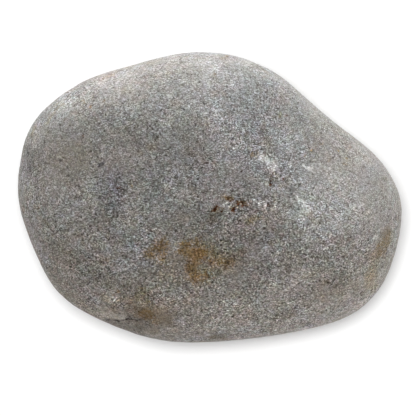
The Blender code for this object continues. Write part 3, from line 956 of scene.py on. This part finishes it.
# Smaller clouds of lighter and darker colour: partly the stone's own tone, partly painted shade, as
# along the ledge's shadow line and in the left rim's notch.
CLOUDS: tuple[Mark, ...] = (
    *blotches(DARKER,
        (-2, 2.8, 2.3, 2.5, 0.3), (4, -4, 3.7, 1.6, 0.42, -5), (-4.9, -3.4, 4.3, 1.6, 0.26, 5),
        (17.1, 7.1, 2.3, 2.5, 0.26), (-23.2, 16.5, 2.7, 2, 0.16), (6.7, 15.2, 3.5, 3.1, 0.16),
        (-4.5, 13.1, 2.9, 2.5, 0.2), (-37.8, 7, 1.23, 2.87, 0.3), (-34.9, -12.8, 1.8, 2.9, 0.25, 30),
        (-2, -29.6, 5.7, 1.6, 0.4), (-5.2, -17.2, 2.9, 2.3, 0.14), (8.4, -8.8, 3.7, 1.8, 0.34, -12),
        (-27.8, -20.3, 2.7, 1.6, 0.22, -40), (-13.3, 12.4, 1.64, 1.43, 0.25),
        (-4.4, 7, 2.87, 1.43, 0.22), (28.9, -15, 1.43, 1.43, 0.24), (-6.3, 15.4, 1.43, 1.64, 0.22),
        (-28.1, -1.4, 2, 2, 0.24), (1.1, -5.8, 2.3, 2.3, 0.22), (-18.2, -11.7, 2, 2.3, 0.26),
        (-21.6, -7.2, 1.8, 1.8, 0.26), (-12.7, -15, 1.8, 2.3, 0.34), (-6.1, -12.9, 1.6, 2, 0.34),
        (11.5, -13.1, 2.3, 4.1, 0.26), (26.3, -16.5, 2.5, 2, 0.22), (1.3, -22.9, 1.8, 3.5, 0.24),
        (21, -25.9, 2.87, 1.23, 0.3, 15), (32.3, -10.1, 1.43, 2.67, 0.34),
        (8.4, -19.9, 1.64, 1.43, 0.32), (-22.8, -21.1, 1.23, 1.43, 0.3),
        (-17.8, -7.5, 2.5, 1.6, 0.26, 35), (13.9, -6.6, 1.64, 1.23, 0.38),
        (24.9, -5, 1.43, 1.23, 0.24), (-15.8, -9.2, 1.8, 1.6, 0.28), (-6.3, -12.4, 1.23, 2.05, 0.22),
        (-16.7, -24.8, 1.02, 0.66, 0.3), (1, -14.6, 1.64, 1.23, 0.28), (5.5, -9.9, 1.43, 1.13, 0.28),
        (9.9, -8.1, 1.84, 1.23, 0.26), (9.4, 13.3, 1.23, 1.43, 0.25), (-0.9, -19.7, 1.43, 2.05, 0.22),
        (13.1, -11.1, 2.05, 1.23, 0.22), (7.8, 22.6, 1.84, 1.23, 0.24),
        (-14, -12.5, 1.43, 1.64, 0.22), (23.7, -12.9, 1.64, 1.43, 0.24),
        (-21.4, -10.9, 1.43, 1.43, 0.22), (7.8, -6.6, 1.64, 1.13, 0.24),
        (18.3, -13.1, 2.05, 1.23, 0.22), (-30.6, 15.7, 1.6, 1.6, 0.22)),
    Streak(DARKER, ((-19, 2.5), (-20.6, -2.9)), 2.25, 0.42),
    Streak(DARKER, ((-15.5, -9.1), (-13.7, -12.5), (-11.6, -14.5)), 1.64, 0.33),
    Streak(DARKER, ((-10.4, 5.8), (-10.3, 0.3)), 1.43, 0.36),
    *blotches(LIGHTER,
        (-6.4, 2.7, 1.23, 1.23, 0.2), (-15.6, -0.5, 2, 2.9, 0.4), (0.4, 24.8, 2, 4.5, 0.24),
        (19, -4.4, 3.3, 2, 0.48), (19, -15.8, 1.8, 2, 0.55), (30.9, -0.7, 3.7, 4.9, 0.27),
        (26.9, 5.2, 4.1, 2, 0.24, -30), (-29.1, -7.1, 3.5, 2, 0.24, -10),
        (-20.5, -24, 2.9, 1.8, 0.26, -30), (5.3, -22.2, 1.6, 3.5, 0.22, 15),
        (-9.1, -21.8, 3.7, 1.6, 0.28), (-6.1, -6.5, 3.1, 1.8, 0.18, -15),
        (-16.3, 24.1, 3.7, 2.5, 0.22, 25), (5.7, -25, 2.9, 1.8, 0.3), (-36.5, 0.5, 1.6, 3.3, 0.32),
        (-30.9, 3.1, 2.5, 2, 0.14), (-30.4, 17.8, 4.1, 2, 0.3, 38), (-22.9, 23.5, 2.7, 1.6, 0.22, 20),
        (21.1, 18.1, 1.8, 2.9, 0.22), (21.9, -4.2, 1.43, 1.64, 0.26), (3.6, 5.7, 1.43, 1.84, 0.24),
        (-7.2, 18.5, 1.64, 1.43, 0.24), (22.3, 5.2, 2.7, 2.9, 0.32), (-13.1, -21.2, 1.43, 1.02, 0.3),
        (37.4, -7.4, 1.02, 4.51, 0.26, -8), (-12.5, -19.6, 2.05, 1.23, 0.28),
        (-17.5, -18.4, 1.23, 1.23, 0.26), (32.3, -15.6, 1.8, 2, 0.27), (-11, 10.5, 3.07, 1.43, 0.2),
        (-8.9, 16.4, 2.05, 1.43, 0.24), (-30.3, -0.2, 2.25, 1.43, 0.24), (-0.1, 21.2, 1.6, 2.5, 0.24),
        (-25.8, -7.9, 1.6, 1.6, 0.22), (8.5, -9.6, 1.02, 1.02, 0.22), (14.7, -20.2, 1.84, 1.23, 0.22),
        (20.2, -23.8, 2.67, 1.43, 0.22), (17, -8.5, 1.43, 2.05, 0.22), (7.1, 28.4, 2.9, 1.6, 0.24),
        (31.3, 7.4, 2.5, 2.3, 0.2)),
)
# Smaller clouds of warmer and cooler stone.
TINTS: tuple[Mark, ...] = (
    *blotches(WARM,
        (5.9, -5.9, 3.7, 2, 0.8, 15), (-0.9, -17.7, 2.5, 1.8, 0.6), (-10.8, -15.7, 2.9, 1.8, 0.7),
        (14.1, -12.7, 2.3, 2, 0.5), (14.8, 20.8, 2.5, 2, 0.45, -40), (-12.2, 7, 1.6, 1.6, 0.3),
        (-18.1, 17.1, 2, 1.6, 0.3, 20), (-26.8, -21, 3.5, 1.6, 0.5, -42), (5.9, -6.7, 3.1, 1.8, 0.35),
        (16.4, -11.2, 2, 2.3, 0.35), (-9.8, -16.5, 2.9, 1.6, 0.4)),
    *blotches(COOL,
        (2, 9.2, 3.7, 2, 0.45), (-27.9, 6.3, 2.3, 2, 0.4), (-24.8, -8.5, 2.3, 2, 0.3),
        (14.6, 2.9, 2.3, 2, 0.35), (21.1, -5.7, 2, 2, 0.4), (-18.3, 10.9, 2.7, 1.8, 0.3),
        (-2, 30, 7.8, 1.6, 0.35), (31.9, 3.7, 2.5, 5.3, 0.35, -20), (26, -2.1, 2, 2, 0.3),
        (-30.8, 17.8, 3.7, 1.8, 0.3, 38)),
)
# Small places where the speckle is calmer too, and thin brown lines by the rim.
FILM: tuple[Mark, ...] = (
    *blotches(SMOOTH,
        (-24, 22.4, 8.2, 2.5, 0.45, 30), (-30, 6.4, 7.8, 12.3, 0.32), (-35.2, -1.7, 3.5, 4.5, 0.42),
        (-24.7, 16.9, 4.9, 3.3, 0.28, 30), (36.8, 0.3, 2.5, 5.3, 0.45),
        (-8.3, 9.6, 11.5, 9.8, 0.32, 10), (-19.8, 10.9, 7, 3.7, 0.2), (-12.1, 1.4, 12.3, 2.9, 0.12),
        (23.9, -21.4, 6.1, 4.1, 0.42, -25), (23.5, 9, 6.6, 4.1, 0.26, 35),
        (-10.4, 17.4, 4.9, 2, 0.24), (-4.2, 4.3, 2.3, 1.8, 0.25), (-24.4, -5.1, 2.9, 4.1, 0.25),
        (28.6, 0.2, 2.9, 2.5, 0.3), (23.5, -5.1, 3.7, 2, 0.2), (-3.8, -20.3, 5.3, 1.8, 0.22),
        (-25.3, -19.1, 3.3, 2.9, 0.3, -30), (-1.7, 24, 5.3, 2.5, 0.2),
        (29.1, 6.8, 4.9, 2.5, 0.35, -38)),
    Streak(EARTH, ((-22.5, 24.1), (-21.1, 25.1), (-19.1, 26.1)), 0.33, 0.63),
    Streak(EARTH, ((-30.7, 19.4), (-32.1, 17.4), (-33.8, 15.2)), 0.38, 0.73),
    Streak(OCHRE, ((-21.8, 24.3), (-21.1, 25.1), (-20.4, 25.7)), 0.2, 0.26),
)
# Broad patches of lighter and darker colour: partly the stone's own tone, partly painted light and shade
# that the lit shape misses, such as the shade below the ledge and in the left rim's notch.
SHADES: tuple[Mark, ...] = (
    *blotches(LIGHTER,
        (21.2, -7, 6.5, 3.4, 0.45, 85), (-33.5, -2, 4, 3.5, 0.3), (1.5, -21, 12, 3.2, 0.28),
        (-10, 3.5, 4.5, 4, 0.22), (-6, 28, 6, 3, 0.2), (-20.5, -17, 4.5, 3, 0.2, -20),
        (-28, -6.5, 3, 3, 0.2), (1.5, 8.5, 3, 3, 0.2), (-18, 8.5, 3, 3, 0.17),
        (14.3, -19, 3, 2.4, 0.15)),
    *blotches(DARKER,
        (6.5, 1, 5, 3.5, 0.4, 80), (-13.5, -26, 5, 2, 0.35), (13.8, 9.5, 5, 4, 0.16),
        (-15.5, -11, 4, 3, 0.2), (1, -11, 5, 3, 0.18), (-28, 13.5, 4.5, 3, 0.18, 20),
        (-13, 13.5, 3, 3, 0.22), (-37.5, 8.5, 3.5, 3, 0.22, 90), (12, 23, 4.5, 3, 0.2, -30),
        (12.6, -7, 5, 2, 0.1, 6)),
    Streak(DARKER, ((17, 20), (22, 16.5), (28, 12.5)), 3.2, 0.28),
    Streak(DARKER, ((35.5, 4), (37, -3), (36.5, -10)), 3.5, 0.24),
)
# Broad patches of warmer and cooler stone.
HUES: tuple[Mark, ...] = (
    *blotches(COOL,
        (5, 21, 20, 10, 0.45), (14, 9, 9, 7, 0.4), (21, -2, 9, 5, 0.5, -65), (-20, -1, 4.5, 3, 0.3),
        (-33, 18, 6, 4, 0.35, 30), (-8.5, 4, 4.5, 4, 0.35), (-33, -1, 3.5, 2.5, 0.3)),
    *blotches(WARM,
        (1.5, -13.5, 5, 3.5, 0.4), (-31, -13, 4.5, 4, 0.35), (-31, 8.5, 4.5, 3, 0.35),
        (-13, -23.5, 4, 3, 0.4)),
    Streak(WARM, (
        (-28, -17.5), (-19, -22.5), (-8, -24.5), (6, -23.5), (20, -21), (29, -16)), 7.5, 0.5),
)
# Where the speckle is calmer, towards the rims.
CALM: tuple[Mark, ...] = (
    *blotches(SMOOTH, (33, 5, 9, 14, 0.6), (-31, 11, 6, 9, 0.25), (20.5, 2, 4.5, 6.5, 0.4)),
    Streak(SMOOTH, ((-17, 23), (-6, 26.5), (5, 26.5), (14, 22.5), (20, 16)), 6, 0.5),
)
MARKS: tuple[Mark, ...] = (
    *IRON_STAIN, *SMALL_STAINS, *PITTED_SPOT, *SCUFFS, *RIM_STREAK, *SPECKS, *LEDGE,
    *SHADES, *CLOUDS, *HUES, *TINTS, *CALM, *FILM,
)


@dataclass(frozen=True)
class SkinPaint:
    """Paints marks into a mesh as one point attribute for each trace.

    A wander is the size of a noise, and how far it shifts a mark's edge. Marks fade out
    between the two shore heights.
    """

    wander_sizes: tuple[tuple[float, float], ...] = ((2.6, 0.6), (0.9, 0.22))
    wander_seed: int = 7
    shore_low: float = 9.0
    shore_high: float = 14.0

    def wandering(self, points: np.ndarray) -> tuple[np.ndarray, np.ndarray]:
        """Shifts plan places a little, so that no mark has a ruled edge.

        Args:
            points: The points, in millimetres.

        Returns:
            The shifted X and Y.
        """
        noise.seed_set(self.wander_seed)
        moved = points[:, :2].copy()
        for size, reach in self.wander_sizes:
            shift = [noise.noise_vector(Vector(point) / size)[:2] for point in points]
            moved += np.array(shift) * reach
        return moved[:, 0], moved[:, 1]

    def paint(self, data: bpy.types.Mesh, marks: tuple[Mark, ...]) -> None:
        """Writes the cover of each trace, from 0 to 1, on the upper side alone.

        Args:
            data: The mesh to paint.
            marks: The marks to paint.
        """
        points = read_points(data) * PER_MM
        upper = np.clip((points[:, 2] - self.shore_low) / (self.shore_high - self.shore_low), 0.0, 1.0)
        x, y = self.wandering(points)
        for trace in Trace:
            bare = np.ones(len(points))
            for mark in marks:
                if mark.trace is trace:
                    bare *= 1.0 - mark.strength * mark.cover(x, y)
            painted = data.attributes.new(trace.value, "FLOAT", "POINT")
            painted.data.foreach_set("value", (1.0 - bare) * upper)


# ---- The stone's skin ----


@dataclass(frozen=True)
class Relief:
    """The roughness of the skin, which a Geometry Nodes tree lays over the smooth stone."""

    wave_size: float = 6.0
    wave_height: float = 0.36
    lump_size: float = 2.2
    lump_height: float = 0.12
    grain_size: float = 0.8
    grain_height: float = 0.045
    pit_spacing: float = 3.0
    pit_radius: float = 0.55
    pit_depth: float = 0.14
    pit_share: float = 0.4
    seed: float = 4.0

    # Heights above the resting face: flat below the first, and fully rough above the second.
    FLAT_BELOW: ClassVar[float] = 0.1
    ROUGH_ABOVE: ClassVar[float] = 1.5
    # Shares: how irregular the pits' places are, the smallest pit's radius and depth, and
    # how much of a pit's radius its floor takes up.
    PIT_SCATTER: ClassVar[float] = 0.8
    LEAST_PIT_WIDTH: ClassVar[float] = 0.5
    LEAST_PIT_DEPTH: ClassVar[float] = 0.3
    PIT_FLOOR: ClassVar[float] = 0.25

    def tree(self) -> Tree:
        """Builds the Geometry Nodes tree.

        Returns:
            The tree: it moves each point along its normal, keeps the resting face flat,
            and stores how deep each point lies in a pit.
        """
        names = ("Geometry", *named_values(self), "Finish")
        graph, given = new_tree("water_worn_relief", "GeometryNodeTree", names, ("Geometry",))
        position = graph.add("GeometryNodeInputPosition").outputs[0]
        place = graph.vectors("SCALE", {0: position, "Scale": PER_MM})
        layers = [
            graph.product(
                graph.minus_half(graph.cloud(place, given[f"{layer} size"], given["Seed"])[0]),
                given[f"{layer} height"],
            )
            for layer in ("Wave", "Lump", "Grain")
        ]
        pit = self._pits(graph, given, place)
        height = graph.total(*layers, graph.product(pit, given["Pit depth"], -1.0))
        clear = graph.ramp(graph.split(place)[2], self.FLAT_BELOW, self.ROUGH_ABOVE)
        normal = graph.add("GeometryNodeInputNormal").outputs[0]
        offset = graph.vectors("SCALE", {0: normal, "Scale": graph.product(height, clear, MM)})
        plugs = {"Geometry": given["Geometry"], "Name": HOLLOW, "Value": graph.product(pit, clear)}
        step = graph.add("GeometryNodeStoreNamedAttribute", plugs, data_type="FLOAT", domain="POINT")
        for kind, own in (
            ("GeometryNodeSetPosition", {"Offset": offset}),
            ("GeometryNodeRealizeInstances", {}),
            ("GeometryNodeSetMaterial", {"Material": given["Finish"]}),
        ):
            step = graph.add(kind, {"Geometry": step.outputs[0], **own})
        return graph.closed({"Geometry": step.outputs[0]})

    def _pits(self, graph: Graph, given: Sockets, place: Socket) -> Socket:
        """Scatters round pits of many sizes.

        Args:
            graph: The tree's graph.
            given: The tree's inputs.
            place: Where each point is, in millimetres.

        Returns:
            How deep each point lies in a pit, as a share of the pits' depth.
        """
        cell = graph.cells(place, given["Pit spacing"], self.PIT_SCATTER)
        width, chance, depth = graph.split(cell["Color"])
        away = graph.product(cell["Distance"], given["Pit spacing"])
        radius = graph.product(given["Pit radius"], graph.total(width, self.LEAST_PIT_WIDTH))
        bowl = graph.ramp(away, graph.product(radius, self.PIT_FLOOR), radius, 1.0, 0.0)
        chosen = graph.maths("LESS_THAN", chance, given["Pit share"])
        return graph.product(bowl, chosen, graph.total(depth, self.LEAST_PIT_DEPTH))

    def lay_on(self, piece: bpy.types.Object, finish: bpy.types.Material) -> None:
        """Adds the tree to a piece as a modifier and sets its inputs.

        Args:
            piece: The piece to roughen.
            finish: The material that the tree sets.
        """
        tree = self.tree()
        modifier = piece.modifiers.new("relief", "NODES")
        modifier.node_group = tree
        values = {**named_values(self), "Finish": finish}
        for item in tree.interface.items_tree:
            if item.in_out == "INPUT" and item.name in values:
                modifier[item.identifier] = values[item.name]


@dataclass(frozen=True)
class StoneSkin:
    """The pebble's skin: an even, fine, closed mesh in place of the frame's faceted solid.

    A mark narrower than fine_reach is fine: the faces are halved where its cover, with a
    margin added, is above fine_cover. Ovals are shares of the unwrapped square.
    """

    name: str = "pebble_stone"
    weld: float = 0.001
    smooth_levels: int = 2
    voxel: float = 0.43
    relax_share: float = 0.5
    relax_rounds: int = 4
    fine_reach: float = 0.6
    fine_margin: float = 0.45
    fine_cover: float = 0.3
    carve_above: float = 14.0
    oval_reach: tuple[float, float] = (0.44, 0.22)
    oval_middle: float = 0.5
    oval_rows: tuple[float, float] = (0.75, 0.25)
    relief: Relief = Relief()
    paint: SkinPaint = SkinPaint()

    def build(self, finish: bpy.types.Material) -> bpy.types.Object:
        """Builds the skin and dresses it.

        Args:
            finish: The stone's material.

        Returns:
            The finished piece, at the origin.
        """
        core = self._core()
        skin = self._even_skin(core)
        self.relief.lay_on(skin, finish)
        self._bake(skin)
        bpy.data.objects.remove(core)
        self._split_under_fine_marks(skin.data)
        self._carve(skin.data)
        self.paint.paint(skin.data, MARKS)
        self._unwrap(skin.data)
        skin.data.shade_smooth()
        return skin

    def _core(self) -> bpy.types.Object:
        """Makes a smooth copy of the frame's solid, for the skin to lie on.

        Returns:
            The core.
        """
        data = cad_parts["pebble"].data.copy()
        data.materials.clear()
        mesh = bmesh.new()
        mesh.from_mesh(data)
        bmesh.ops.remove_doubles(mesh, verts=mesh.verts, dist=self.weld * MM)
        mesh.to_mesh(data)
        mesh.free()
        core = placed("core", data)
        rounding = core.modifiers.new("rounding", "SUBSURF")
        rounding.levels = self.smooth_levels
        rounding.render_levels = self.smooth_levels
        return core

    def _even_skin(self, core: bpy.types.Object) -> bpy.types.Object:
        """Grows an even mesh round the core and draws it tight.

        Args:
            core: The smooth core.

        Returns:
            The skin, still plain.
        """
        skin = core.copy()
        skin.data = core.data.copy()
        skin.name = self.name
        bpy.context.scene.collection.objects.link(skin)
        remesh = skin.modifiers.new("even", "REMESH")
        remesh.mode = "VOXEL"
        remesh.voxel_size = self.voxel * MM
        relax = skin.modifiers.new("relax", "SMOOTH")
        relax.factor = self.relax_share
        relax.iterations = self.relax_rounds
        draw = skin.modifiers.new("tight", "SHRINKWRAP")
        draw.target = core
        draw.wrap_method = "NEAREST_SURFACEPOINT"
        self._bake(skin)
        return skin

    @staticmethod
    def _bake(piece: bpy.types.Object) -> None:
        """Turns a piece's modifiers into plain mesh.

        Args:
            piece: The piece.
        """
        evaluated = piece.evaluated_get(bpy.context.evaluated_depsgraph_get())
        data = bpy.data.meshes.new_from_object(evaluated)
        piece.modifiers.clear()
        piece.data = data

    def _split_under_fine_marks(self, data: bpy.types.Mesh) -> None:
        """Halves the faces under the smallest marks, so that they can carry them.

        Args:
            data: The skin's mesh.
        """
        points = read_points(data) * PER_MM
        x, y = self.paint.wandering(points)
        fine = np.zeros(len(points))
        for mark in MARKS:
            reach = mark.half_width if isinstance(mark, Streak) else mark.short_reach
            if reach < self.fine_reach and mark.trace is not SMOOTH:
                fine = np.maximum(fine, mark.wider(self.fine_margin).cover(x, y))
        chosen = (fine > self.fine_cover) & (points[:, 2] > self.carve_above)
        mesh = bmesh.new()
        mesh.from_mesh(data)
        mesh.verts.ensure_lookup_table()
        edges = {edge for index in np.flatnonzero(chosen) for edge in mesh.verts[index].link_edges}
        ordered = sorted(edges, key=lambda edge: edge.index)
        bmesh.ops.subdivide_edges(mesh, edges=ordered, cuts=1, use_grid_fill=True, smooth=0.0)
        mesh.to_mesh(data)
        mesh.free()

    def _carve(self, data: bpy.types.Mesh) -> None:
        """Sinks the marks that have a depth, and keeps the stone above what it rests on.

        Args:
            data: The skin's mesh.
        """
        points = read_points(data)
        normals = np.empty(points.size)
        data.vertex_normals.foreach_get("vector", normals)
        x, y = self.paint.wandering(points * PER_MM)
        sunk = sum(mark.depth * mark.cover(x, y) for mark in MARKS if mark.depth)
        sunk = np.where(points[:, 2] > self.carve_above * MM, sunk, 0.0)
        points -= normals.reshape(-1, 3) * sunk[:, None] * MM
        points[:, 2] = np.maximum(points[:, 2], 0.0)
        data.vertices.foreach_set("co", points.ravel())
        data.update()

    def _unwrap(self, data: bpy.types.Mesh) -> None:
        """Lays the upper and the lower half out as two ovals of equal area.

        Args:
            data: The skin's mesh.
        """
        points = read_points(data)
        low, high = points.min(axis=0), points.max(axis=0)
        outward = (points - (low + high) / 2.0) / (high - low)
        outward /= np.linalg.norm(outward, axis=1)[:, None]
        corner = self._read(data.loops, "vertex_index")
        starts = self._read(data.polygons, "loop_start")
        sides = self._read(data.polygons, "loop_total")
        away = outward[corner]
        is_upper = np.repeat(np.add.reduceat(away[:, 2], starts) > 0.0, sides)
        rise = np.where(is_upper, away[:, 2], -away[:, 2])
        spread = np.sqrt(np.maximum(1.0 - rise, 0.0))
        flat = np.maximum(np.hypot(away[:, 0], away[:, 1]), TINY)
        reach_x, reach_y = self.oval_reach
        across = self.oval_middle + reach_x * spread * away[:, 0] / flat
        along = np.where(is_upper, *self.oval_rows) + reach_y * spread * away[:, 1] / flat
        layout = data.uv_layers.new(name="OFBake")
        layout.data.foreach_set("uv", np.column_stack((across, along)).ravel())

    @staticmethod
    def _read(parts: bpy.types.bpy_prop_collection, name: str) -> np.ndarray:
        """Reads a whole number from each part of a mesh.

        Args:
            parts: The mesh's loops or polygons.
            name: What to read of each.

        Returns:
            The numbers, in order.
        """
        numbers = np.empty(len(parts), np.int32)
        parts.foreach_get(name, numbers)
        return numbers


@dataclass(frozen=True)
class Pebble:
    """The whole object: one stone, in one piece."""

    finish: StoneFinish = StoneFinish()
    skin: StoneSkin = StoneSkin()

    def build(self) -> bpy.types.Object:
        """Builds the stone and fits it to the frame.

        Returns:
            The finished piece.
        """
        material = self.finish.material(StoneEffects())
        piece = self.skin.build(material)
        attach(piece, "root")
        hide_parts("pebble")
        return piece


# ---- The studio ----


@dataclass(frozen=True)
class SoftLight:
    """A large round light that shines on the stone alone, aimed at its middle."""

    name: str
    azimuth_deg: float
    elevation_deg: float
    watts: float
    diameter_m: float = 0.5
    distance_m: float = 0.9


@dataclass(frozen=True)
class Studio:
    """A plain pale floor, soft lights and the camera. Lengths are in metres unless named otherwise."""

    camera_x: float = -0.00049
    camera_y: float = -0.00216
    camera_height: float = 0.915
    rim_height: float = 0.015
    view_width: float = 0.08667
    sensor_mm: float = 36.0
    near_clip: float = 0.01
    far_clip: float = 20.0
    floor_size: float = 12.0
    floor_white: float = 0.9
    floor_glow: float = 0.05
    sun_strength: float = 3.42
    sun_spread_deg: float = 22.0
    sun_lean_deg: tuple[float, float] = (-2.6, 3.6)
    sky: float = 0.03
    lights: tuple[SoftLight, ...] = (
        SoftLight("far", 80.0, 15.0, 12.2),
        SoftLight("left", 160.0, 15.0, 3.6),
        SoftLight("near_right", 315.0, 15.0, 4.0),
        SoftLight("right", 0.0, 15.0, 1.5),
        SoftLight("above", 0.0, 89.0, 2.0),
    )

    def build(self, stone: bpy.types.Object) -> None:
        """Sets the studio up round the stone.

        Args:
            stone: The piece that the soft lights shine on.
        """
        bpy.context.scene.view_settings.view_transform = "Standard"
        floor = self._floor()
        self._sky()
        self._sun(self._only("floor_only", floor))
        stone_only = self._only("stone_only", stone)
        for light in self.lights:
            self._soft_light(light, stone_only)
        self._camera()

    @staticmethod
    def _only(name: str, thing: bpy.types.Object) -> bpy.types.Collection:
        """Makes a collection that holds one thing, for a light to be linked to.

        Args:
            name: The collection's name.
            thing: What it holds.

        Returns:
            The collection.
        """
        group = bpy.data.collections.new(name)
        group.objects.link(thing)
        return group

    def _floor(self) -> bpy.types.Object:
        """Makes the floor.

        Returns:
            The floor.
        """
        half = self.floor_size / 2.0
        data = bpy.data.meshes.new("floor")
        corners = [(-half, -half, 0.0), (half, -half, 0.0), (half, half, 0.0), (-half, half, 0.0)]
        data.from_pydata(corners, [], [(0, 1, 2, 3)])
        floor = placed("floor", data)
        material = bpy.data.materials.new("pale_floor")
        material.use_nodes = True
        shader = material.node_tree.nodes["Principled BSDF"]
        white = self.floor_white
        for name, value in (
            ("Base Color", (white, white, white, 1.0)),
            ("Roughness", 1.0),
            ("Specular IOR Level", 0.0),
            ("Emission Color", WHITE),
            ("Emission Strength", self.floor_glow),
        ):
            shader.inputs[name].default_value = value
        data.materials.append(material)
        return floor

    def _sky(self) -> None:
        """A white backdrop that adds only a faint light of its own."""
        world = bpy.data.worlds.new("studio")
        bpy.context.scene.world = world
        world.use_nodes = True
        graph = Graph(world.node_tree)
        faint = world.node_tree.nodes["Background"]
        faint.inputs["Color"].default_value = WHITE
        faint.inputs["Strength"].default_value = self.sky
        seen = graph.add("ShaderNodeBackground", {"Color": WHITE, "Strength": 1.0})
        path = graph.add("ShaderNodeLightPath")
        either = graph.add("ShaderNodeMixShader", {
            0: path.outputs["Is Camera Ray"], 1: faint.outputs[0], 2: seen.outputs[0],
        })
        graph.feed(world.node_tree.nodes["World Output"].inputs["Surface"], either.outputs[0])

    def _sun(self, group: bpy.types.Collection) -> None:
        """Adds the overhead light that whitens the floor and draws the stone's close shadow.

        Args:
            group: The collection that it shines on.
        """
        data = bpy.data.lights.new("overhead", "SUN")
        data.energy = self.sun_strength
        data.angle = math.radians(self.sun_spread_deg)
        lean_x, lean_y = (math.radians(lean) for lean in self.sun_lean_deg)
        self._lamp(data, Vector((math.tan(lean_x), math.tan(lean_y), 1.0)), group)

    def _soft_light(self, light: SoftLight, group: bpy.types.Collection) -> None:
        """Adds one soft light.

        Args:
            light: Where it is and how strong.
            group: The collection that it shines on.
        """
        data = bpy.data.lights.new(light.name, "AREA")
        data.shape = "DISK"
        data.size = light.diameter_m
        data.energy = light.watts
        azimuth, elevation = math.radians(light.azimuth_deg), math.radians(light.elevation_deg)
        level = math.cos(elevation)
        towards = Vector((math.cos(azimuth) * level, math.sin(azimuth) * level, math.sin(elevation)))
        lamp = self._lamp(data, towards, group)
        lamp.location = towards * light.distance_m
        lamp.visible_camera = False

    @staticmethod
    def _lamp(data: bpy.types.Light, towards: Vector, group: bpy.types.Collection) -> bpy.types.Object:
        """Adds a light's object.

        Args:
            data: The light.
            towards: The way from the stone to the light.
            group: The collection that it shines on.

        Returns:
            The object, turned to shine back along that way.
        """
        lamp = placed(data.name, data)
        lamp.rotation_euler = towards.to_track_quat("Z", "Y").to_euler()
        lamp.light_linking.receiver_collection = group
        return lamp

    def _camera(self) -> None:
        """Adds the camera, which looks straight down."""
        data = bpy.data.cameras.new("camera")
        data.sensor_width = self.sensor_mm
        data.lens = self.sensor_mm * (self.camera_height - self.rim_height) / self.view_width
        data.clip_start = self.near_clip
        data.clip_end = self.far_clip
        camera = placed("camera", data)
        camera.location = (self.camera_x, self.camera_y, self.camera_height)
        bpy.context.scene.camera = camera


def main() -> None:
    """Builds the pebble and its studio, and reports each piece."""
    logging.basicConfig(level=logging.INFO, format="%(message)s", stream=sys.stdout)
    stone = Pebble().build()
    stone.data.calc_loop_triangles()
    log.info("%s: %d triangles", stone.name, len(stone.data.loop_triangles))
    Studio().build(stone)


if __name__ == "__main__":
    main()
